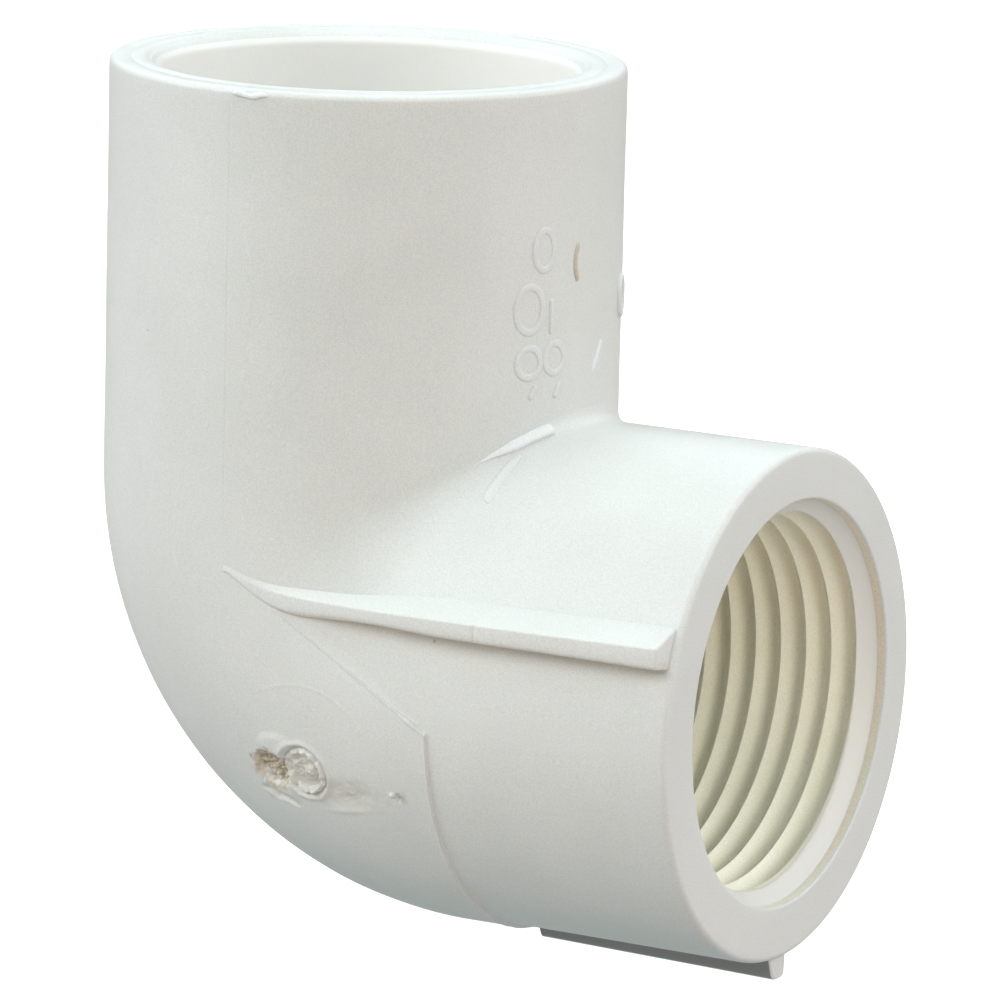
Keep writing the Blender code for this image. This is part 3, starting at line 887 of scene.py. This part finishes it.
def gate_stains(graph, colour):
    """The brown of the torn pit, and the paler stains round it."""
    rough = graph.noise(1500.0, 4.0)
    torn = graph.stain((2.75, -14.9, -5.35), (1.75, 1.5, 1.65), rough, 0.3)
    mottled = graph.ramp(rough, [(0.35, (0.44, 0.35, 0.24, 1)), (0.62, (0.70, 0.65, 0.54, 1))])
    colour = graph.mix(graph.math("MULTIPLY", torn, 0.92), colour, mottled)
    for centre, size, share, stain_colour in GATE_STAINS:
        blot = graph.stain(centre, size, rough, 0.8)
        colour = graph.mix(graph.math("MULTIPLY", blot, share), colour, stain_colour)
    return colour


def lead_in_tint(graph, colour):
    """The lead-in cone, greyer than the thread behind it."""
    cone = graph.ramp_mm(graph.along("X"), FACE_X - 2.2, [(0.30, grey(0)), (0.60, grey(1))])
    return graph.mix(cone, colour, (0.66, 0.65, 0.62, 1))


def rib_speckles_and_painted_shade(graph, colour):
    """Beige speckles towards the lower edge of the rib, which also paint the shade along that edge."""
    low = graph.ramp_mm(graph.along("Z"), 5.0, [(0.25, grey(1)), (0.95, grey(0))])
    specks = graph.ramp(graph.noise(4200.0, 3.0), [(0.48, grey(0.22)), (0.62, grey(0.9))])
    return graph.mix(graph.math("MULTIPLY", low, specks), colour, (0.66, 0.58, 0.47, 1))


def underside_shade(graph, colour):
    """The near face of the bottom rib up to its rounded end, darker than the light makes it."""
    near = graph.math("LESS_THAN", graph.along("Y"), -0.35 * MM)
    behind = graph.math("LESS_THAN", graph.along("X"), (BOTTOM_RIB_END - 0.12) * MM)
    return graph.mix(graph.math("MULTIPLY", near, behind), colour, (0.27, 0.275, 0.28, 1))


def pvc_material(name, whites, *marks, subsurface=0.15):
    """Moulded PVC: cloudy white with dark specks, a fine grain in its skin, and slight changes of gloss.

    Each of marks is a function that adds one local change of colour.
    """
    material = bpy.data.materials.new(name)
    material.use_nodes = True
    shader = material.node_tree.nodes["Principled BSDF"]
    graph = Nodes(material.node_tree, "Object")
    light, dark = whites
    cloudy = graph.ramp(graph.noise(140.0, 3.0), [(0.35, (*dark, 1)), (0.65, (*light, 1))])
    grained = graph.ramp(graph.noise(GRAIN_SCALE, 2.0), [(0.30, grey(0.88)), (0.66, grey(1.0))])
    colour = graph.mix(1.0, cloudy, grained, "MULTIPLY")
    for mark in (dark_specks, *marks):
        colour = mark(graph, colour)
    bump = graph.add("Bump")
    bump.inputs["Strength"].default_value = 0.35
    bump.inputs["Distance"].default_value = 0.03 * MM
    graph.feed(bump.inputs["Height"], graph.noise(3300.0, 2.0))
    settings = {
        "Base Color": colour,
        "Roughness": graph.ramp(graph.noise(420.0, 2.0), [(0.3, grey(0.36)), (0.7, grey(0.5))]),
        "Normal": bump.outputs["Normal"],
        "Subsurface Weight": subsurface,
        "Subsurface Radius": (1.0, 0.85, 0.6),
        "Subsurface Scale": 1 * MM,
        "IOR": 1.53,
    }
    for socket, value in settings.items():
        graph.feed(shader.inputs[socket], value)
    return material


# ---------------------------------------------------------------- stage

# Lengths from here to the camera are in metres, and angles in degrees.
FLOOR_HALF = 1.2
SURROUND_R = 1.3
LIGHT_DISTANCE = 0.6
# The azimuth that the lights' own are told from, close to the camera's.
FRONT = 29.8
LIGHTS = (
    # name, azimuth from the front, elevation, size, power, colour
    ("top_softbox", 0.0, 88.0, 0.55, 1.65, (0.88, 1.0, 0.985)),
    ("left_front_card", -40.0, 25.0, 0.45, 0.25, (1.0, 0.88, 0.43)),
    ("left_softbox", -80.0, 25.0, 0.45, 1.36, (0.85, 0.935, 1.0)),
    ("right_softbox", 85.0, 20.0, 0.45, 0.88, (1.0, 0.965, 0.945)),
    ("table_bounce", 10.0, -45.0, 0.5, 0.6, (1.0, 0.65, 0.55)),
)
# The light of the room, in bands from straight down (0) to straight up (1).
ROOM_STRENGTH = 2.0
ROOM = (
    (0.24, (0.111, 0.180, 0.196)),
    (0.26, (0.307, 0.278, 0.252)),
    (0.446, (0.307, 0.278, 0.252)),
    (0.466, (0.052, 0.019, 0.0)),
    (0.661, (0.052, 0.019, 0.0)),
    (0.681, (0.748, 0.820, 0.860)),
    (0.873, (0.748, 0.820, 0.860)),
    (0.893, (0.0, 0.0, 0.0)),
)


def stage():
    """A white floor and a white surround. Both show to the camera and leave the object's light alone."""
    low = CAD_BOUNDS[LOW][Z]
    corners = [(-1, -1), (1, -1), (1, 1), (-1, 1)]
    floor = bpy.data.meshes.new("studio_floor")
    floor.from_pydata([(x * FLOOR_HALF, y * FLOOR_HALF, low) for x, y in corners], [], [(0, 1, 2, 3)])
    surround = bpy.data.meshes.new("studio_surround")
    builder = bmesh.new()
    bmesh.ops.create_uvsphere(builder, u_segments=32, v_segments=16, radius=SURROUND_R)
    builder.to_mesh(surround)
    builder.free()
    for mesh, strength in ((floor, 1.0), (surround, 1.2)):
        obj = bpy.data.objects.new(mesh.name, mesh)
        bpy.context.scene.collection.objects.link(obj)
        material = bpy.data.materials.new(mesh.name + "_paper")
        material.use_nodes = True
        shader = material.node_tree.nodes["Principled BSDF"]
        shader.inputs["Base Color"].default_value = grey(0.5)
        shader.inputs["Roughness"].default_value = 0.9
        shader.inputs["Emission Color"].default_value = grey(1)
        shader.inputs["Emission Strength"].default_value = strength
        mesh.materials.append(material)
        for ray in ("visible_diffuse", "visible_glossy", "visible_transmission", "visible_shadow"):
            setattr(obj, ray, False)


def towards(azimuth, elevation):
    """Unit direction from the object, for an azimuth from -Y towards +X and an elevation, in degrees."""
    a, e = math.radians(azimuth), math.radians(elevation)
    return Vector((math.sin(a) * math.cos(e), -math.cos(a) * math.cos(e), math.sin(e)))


def area_light(name, target, azimuth, elevation, size, power, colour):
    data = bpy.data.lights.new(name, "AREA")
    data.shape = "DISK"
    data.size = size
    data.energy = power
    data.color = colour
    light = bpy.data.objects.new(name, data)
    light.location = target + LIGHT_DISTANCE * towards(azimuth, elevation)
    light.rotation_euler = (target - light.location).to_track_quat("-Z", "Y").to_euler()
    bpy.context.scene.collection.objects.link(light)
    return light


def studio_light():
    """The room's light, the softboxes round the object, and the plain view transform."""
    scene = bpy.context.scene
    world = bpy.data.worlds.new("studio")
    world.use_nodes = True
    graph = Nodes(world.node_tree, "Generated")
    height = graph.add("MapRange")
    height.inputs["From Min"].default_value = -1.0
    graph.feed(height.inputs["Value"], graph.along("Z"))
    background = world.node_tree.nodes["Background"]
    room = graph.ramp(height.outputs["Result"], [(at, (*colour, 1)) for at, colour in ROOM])
    graph.feed(background.inputs["Color"], room)
    background.inputs["Strength"].default_value = ROOM_STRENGTH
    scene.world = world
    scene.view_settings.view_transform = "Standard"
    scene.view_settings.look = "None"
    for name, azimuth, *settings in LIGHTS:
        area_light(name, Vector((0.008, 0, 0.01)), FRONT + azimuth, *settings)


def thread_fill(sleeve):
    """A soft light into the mouth that falls on the threads alone, standing in for light through the wall."""
    light = area_light("thread_fill", Vector((0.024, 0, 0)), 58.0, 12.0, 0.3, 0.9, (1.0, 0.98, 0.88))
    lit = bpy.data.collections.new("thread_fill_lit")
    lit.objects.link(sleeve)
    light.light_linking.receiver_collection = lit


def camera():
    """The viewing angle, told in millimetres and degrees from the crossing of the fitting's centre lines."""
    azimuth, elevation, roll = 29.83, 11.50, math.radians(1.42)
    distance, aim_across, aim_up = 476.63, 9.112, 9.355
    back = towards(azimuth, elevation)
    level = towards(azimuth + 90, 0)
    upright = back.cross(level)
    right = level * math.cos(roll) + upright * math.sin(roll)
    up = upright * math.cos(roll) - level * math.sin(roll)
    data = bpy.data.cameras.new("camera")
    data.lens = 262.7
    data.clip_start = 0.01
    obj = bpy.data.objects.new("camera", data)
    place = Matrix((right, up, back)).transposed().to_4x4()
    place.translation = (level * aim_across + upright * aim_up + back * distance) * MM
    obj.matrix_world = place
    bpy.context.scene.collection.objects.link(obj)
    bpy.context.scene.camera = obj


# ---------------------------------------------------------------- the whole

# Raised rings on the socket, as (CAD node, angle, place up Z, half size across and up, height).
RING_MARKS = (
    ("raised_mark_top_1", 16.2, 28.1, (0.85, 1.25), 0.075),
    ("raised_mark_middle_1", 20.2, 24.4, (1.10, 1.45), 0.075),
    ("raised_mark_middle_3", -21.5, 23.7, (0.80, 1.20), 0.24),
    ("raised_mark_bottom_1", 20.1, 21.0, (0.95, 0.95), 0.075),
    ("raised_mark_bottom_2", 12.4, 21.1, (0.88, 0.95), 0.075),
)
# Raised bars, as (CAD node, angle, place up Z, length, lean, bow).
BAR_MARKS = (
    ("raised_mark_top_2", 4.8, 27.0, 2.5, 0.0, -0.35),
    ("raised_mark_middle_2", 13.8, 23.8, 2.3, 0.0, 0.0),
    ("raised_mark_bottom_3", -4.3, 20.6, 1.9, 1.3, 0.0),
    ("raised_mark_lowest_1", 18.9, 19.1, 0.9, 0.5, 0.0),
    ("raised_mark_lowest_2", 11.5, 19.0, 0.9, 0.5, 0.0),
)


def dress(piece, slot, *nodes):
    """Rides a piece on the one body, in place of the CAD nodes that it stands for."""
    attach(piece, "root")
    if nodes:
        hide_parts(*nodes)


def main():
    camera()
    studio_light()
    stage()
    # The body's material paints light into the socket's bore and shade onto the mouth's short wall.
    body = pvc_material("pvc_moulding", BODY_WHITE, socket_bore_painted_light, mouth_wall_painted_shade, gate_stains)
    # The thread's material paints the warm bounce light inside the outlet.
    warm = pvc_material("pvc_thread_painted_bounce", THREAD_PAINTED_BOUNCE, lead_in_tint, subsurface=0.2)
    detail = pvc_material("pvc_detail", DETAIL_WHITE)
    tan = pvc_material("pvc_stained", STAINED_TAN)
    shaded = pvc_material("pvc_underside", BODY_WHITE, underside_shade)
    # Speckles on the rib, with painted shade along its lower edge.
    speckled_painted_shade = pvc_material("pvc_rib", DETAIL_WHITE, rib_speckles_and_painted_shade)
    # Painted highlight on the flash scraps and the slanted bar.
    painted_highlight = pvc_material("pvc_flash_painted_highlight", PAINTED_HIGHLIGHT_WHITE)
    dress(moulded_wall(body), "pvc_body", "slip_socket", "elbow_bend", "threaded_outlet")
    sleeve = thread_sleeve(warm)
    dress(sleeve, "pvc_thread", "female_thread")
    thread_fill(sleeve)
    dress(near_rib(speckled_painted_shade), "pvc_detail", "near_side_rib")
    dress(bottom_rib(shaded), "pvc_detail", "bottom_rib")
    dress(gate_stub(body), "pvc_detail", "gate_stub")
    for piece in (throat_bar(painted_highlight), throat_branch(detail)):
        dress(piece, "pvc_detail", "near_throat_fin")
    for piece in (rim_flash_far(painted_highlight), rim_flash_near(painted_highlight), mould_line_bead(detail)):
        dress(piece, "pvc_detail")
    for node, *shape in RING_MARKS:
        dress(hub_ring_mark(node.replace("raised", "relief"), *shape, detail), "pvc_detail", node)
    own_material = {"raised_mark_top_2": tan, "raised_mark_bottom_3": painted_highlight}
    for node, *shape in BAR_MARKS:
        piece = hub_bar_mark(node.replace("raised", "relief"), *shape, own_material.get(node, detail))
        dress(piece, "pvc_detail", node)


main()
